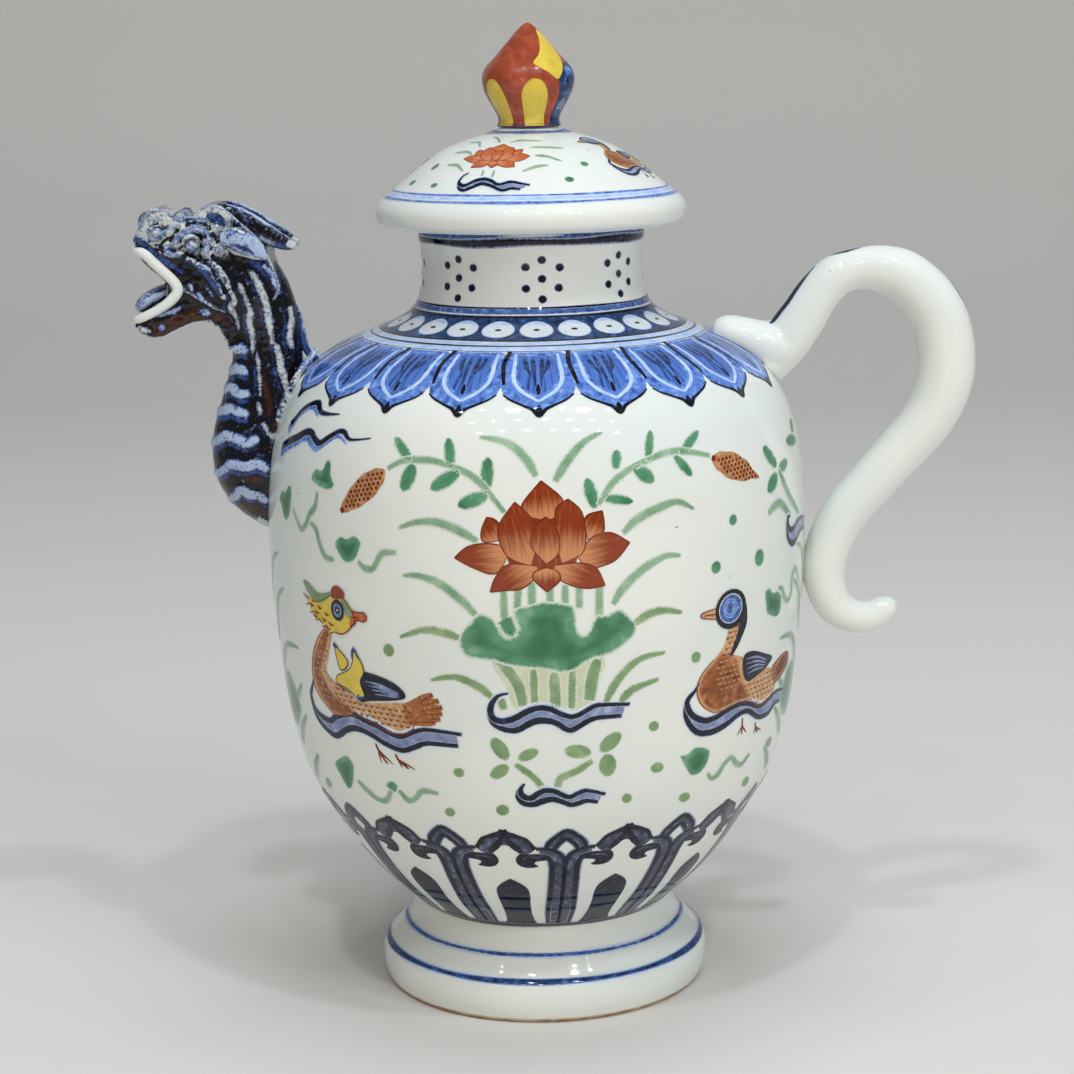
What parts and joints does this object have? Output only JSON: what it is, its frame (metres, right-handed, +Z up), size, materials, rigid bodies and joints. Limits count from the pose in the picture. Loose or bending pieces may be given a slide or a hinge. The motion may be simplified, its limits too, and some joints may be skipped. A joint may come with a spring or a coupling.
{
  "type": "beast-head ewer",
  "caption": "Lidded porcelain ewer with an ovoid body, a beast-head pouring spout, an S-shaped loop handle, a splayed foot and a domed lid with a bud finial.",
  "frame": {"origin": "on the table, under the middle of the outline from beak to handle; the pot's own axis is 6.26 mm towards -X", "axes": "+Z up, spout towards -X, handle towards +X, +Y to the far side of the pictured face"},
  "size_m": [0.2432, 0.1566, 0.28],
  "materials": {
    "white_glaze": "gloss",
    "painted_glaze": "gloss",
    "cobalt_glaze": "gloss",
    "enamel": "gloss"
  },
  "bodies": {
    "ewer": {"foot_ring": "white_glaze", "vessel_body": "painted_glaze", "neck_collar": "painted_glaze", "spout_neck": "cobalt_glaze", "beast_head": "cobalt_glaze", "lower_jaw": "cobalt_glaze", "nape_ridge": "cobalt_glaze", "left_horn": "cobalt_glaze", "right_horn": "cobalt_glaze", "left_ear": "cobalt_glaze", "right_ear": "cobalt_glaze", "left_eye": "white_glaze", "right_eye": "white_glaze", "left_nostril": "cobalt_glaze", "right_nostril": "cobalt_glaze", "handle_root": "white_glaze", "handle_loop": "white_glaze", "handle_tail": "white_glaze"},
    "lid": {"lid_dome": "painted_glaze", "lid_flange": "white_glaze", "lid_finial": "enamel"}
  },
  "joints": [
    {"name": "lid_lift", "type": "slide", "parent": "ewer", "child": "lid", "axis": [0, 0, 1], "range_m": [0, 0.06]}
  ]
}
